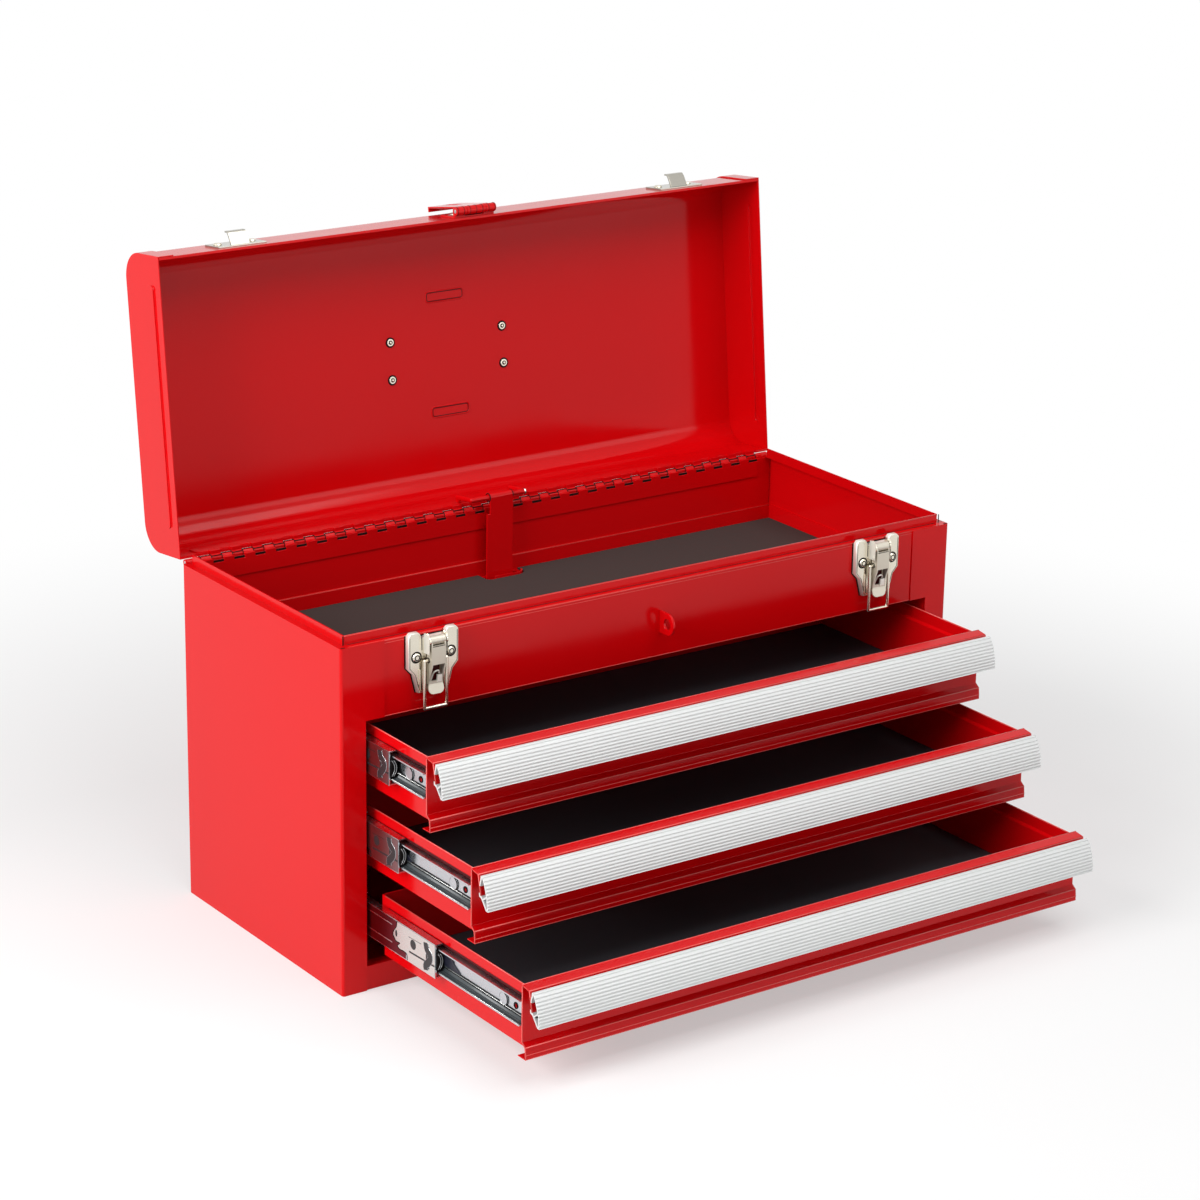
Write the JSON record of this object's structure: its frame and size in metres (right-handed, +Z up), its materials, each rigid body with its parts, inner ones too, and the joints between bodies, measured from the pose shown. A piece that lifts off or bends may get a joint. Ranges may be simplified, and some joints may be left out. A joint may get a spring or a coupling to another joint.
{
  "type": "portable tool box with drawers",
  "caption": "Portable steel tool box: a lift-up lid over a tray and stacked drawers on ball slides, with side latches, a centre hasp, a top handle and a drawer lock worked by the lid.",
  "frame": {"origin": "middle of the case's underside, where it rests on a floor or bench", "axes": "+X along the box, to the right seen from the front; +Y towards the hinge side, so the drawers open along -Y; +Z up"},
  "size_m": [0.5254, 0.4926, 0.4742],
  "materials": {
    "red_paint": "gloss powder coat",
    "dark_foam": "fine foam sheet",
    "black_mat": "ribbed rubbery mat",
    "nickel": "bright nickel plate",
    "zinc": "zinc plate",
    "ribbed_aluminium": "satin anodised",
    "steel_wire": "plain steel",
    "black_plastic": "moulded matt"
  },
  "bodies": {
    "case": {"side_panel_left": "red_paint", "side_panel_right": "red_paint", "back_panel": "red_paint", "base_pan": "red_paint", "front_panel": "red_paint", "tray_floor": "red_paint", "tray_liner": "dark_foam", "slide_frames": "red_paint", "hinge_leaf_case": "red_paint", "hinge_pin": "steel_wire", "padlock_staple": "red_paint", "latch_base_left": "nickel", "latch_base_right": "nickel", "case_rivets": "nickel", "latch_pins": "steel_wire", "slide_outer_1": "zinc", "slide_outer_2": "zinc", "slide_outer_3": "zinc"},
    "lid": {"lid_shell": "red_paint", "lid_end_left": "red_paint", "lid_end_right": "red_paint", "hinge_leaf_lid": "red_paint", "lid_catches": "nickel", "lid_rivets": "nickel", "hasp_leaf": "red_paint", "hasp_pin": "steel_wire", "handle_brackets": "nickel", "lock_rod": "red_paint"},
    "hasp": {"hasp_strap": "red_paint"},
    "handle": {"handle_bail": "nickel", "handle_grip": "black_plastic"},
    "lock": {"lock_bar": "red_paint"},
    "lever_left": {"latch_lever_left": "nickel"},
    "bail_left": {"latch_bail_left": "nickel"},
    "lever_right": {"latch_lever_right": "nickel"},
    "bail_right": {"latch_bail_right": "nickel"},
    "slide_1": {"slide_mid_1": "zinc", "slide_bumper_1": "black_plastic", "slide_cage_1": "steel_wire"},
    "drawer_1": {"drawer_1_box": "red_paint", "drawer_1_front": "red_paint", "drawer_1_pull": "ribbed_aluminium", "drawer_1_liner": "black_mat", "drawer_1_slides": "zinc"},
    "slide_2": {"slide_mid_2": "zinc", "slide_bumper_2": "black_plastic", "slide_cage_2": "steel_wire"},
    "drawer_2": {"drawer_2_box": "red_paint", "drawer_2_front": "red_paint", "drawer_2_pull": "ribbed_aluminium", "drawer_2_liner": "black_mat", "drawer_2_slides": "zinc"},
    "slide_3": {"slide_mid_3": "zinc", "slide_bumper_3": "black_plastic", "slide_cage_3": "steel_wire"},
    "drawer_3": {"drawer_3_box": "red_paint", "drawer_3_front": "red_paint", "drawer_3_pull": "ribbed_aluminium", "drawer_3_liner": "black_mat", "drawer_3_slides": "zinc"}
  },
  "joints": [
    {"name": "lid_hinge", "type": "hinge", "parent": "case", "child": "lid", "pos_m": [0, 0.1099, 0.2502], "axis": [1, 0, 0], "range_deg": [0, 96.06]},
    {"name": "lock_pivot", "type": "hinge", "parent": "lid", "child": "lock", "pos_m": [0, 0.10051, 0.26025], "axis": [1, 0, 0], "range_deg": [-96.06, 0]},
    {"name": "drawer_1_slide", "type": "slide", "parent": "case", "child": "drawer_1", "axis": [0, 1, 0], "range_m": [-0.1142, 0.0668]},
    {"name": "slide_1_travel", "type": "slide", "parent": "case", "child": "slide_1", "axis": [0, 1, 0], "range_m": [-0.0571, 0.0334]},
    {"name": "drawer_2_slide", "type": "slide", "parent": "case", "child": "drawer_2", "axis": [0, 1, 0], "range_m": [-0.06, 0.121]},
    {"name": "slide_2_travel", "type": "slide", "parent": "case", "child": "slide_2", "axis": [0, 1, 0], "range_m": [-0.03, 0.0605]},
    {"name": "drawer_3_slide", "type": "slide", "parent": "case", "child": "drawer_3", "axis": [0, 1, 0], "range_m": [0, 0.181]},
    {"name": "slide_3_travel", "type": "slide", "parent": "case", "child": "slide_3", "axis": [0, 1, 0], "range_m": [0, 0.0905]},
    {"name": "latch_left_lever", "type": "hinge", "parent": "case", "child": "lever_left", "pos_m": [-0.1913, -0.1146, 0.2466], "axis": [1, 0, 0], "range_deg": [-115, 0]},
    {"name": "latch_left_bail", "type": "hinge", "parent": "lever_left", "child": "bail_left", "pos_m": [-0.1913, -0.1137, 0.2326], "axis": [-1, 0, 0], "range_deg": [0, 180]},
    {"name": "latch_right_lever", "type": "hinge", "parent": "case", "child": "lever_right", "pos_m": [0.1913, -0.1146, 0.2466], "axis": [1, 0, 0], "range_deg": [-115, 0]},
    {"name": "latch_right_bail", "type": "hinge", "parent": "lever_right", "child": "bail_right", "pos_m": [0.1913, -0.1137, 0.2326], "axis": [-1, 0, 0], "range_deg": [0, 180]},
    {"name": "hasp_hinge", "type": "hinge", "parent": "lid", "child": "hasp", "pos_m": [0, 0.1341, 0.47058], "axis": [1, 0, 0], "range_deg": [0, 184.7]},
    {"name": "handle_pivot", "type": "hinge", "parent": "lid", "child": "handle", "pos_m": [0, 0.17838, 0.35345], "axis": [-1, 0, 0], "range_deg": [-173.94, 6.06]}
  ],
  "couplings": [
    {"joint": "lock_pivot", "follows": "lid_hinge", "ratio": -1},
    {"joint": "slide_1_travel", "follows": "drawer_1_slide", "ratio": 0.5},
    {"joint": "slide_2_travel", "follows": "drawer_2_slide", "ratio": 0.5},
    {"joint": "slide_3_travel", "follows": "drawer_3_slide", "ratio": 0.5}
  ]
}
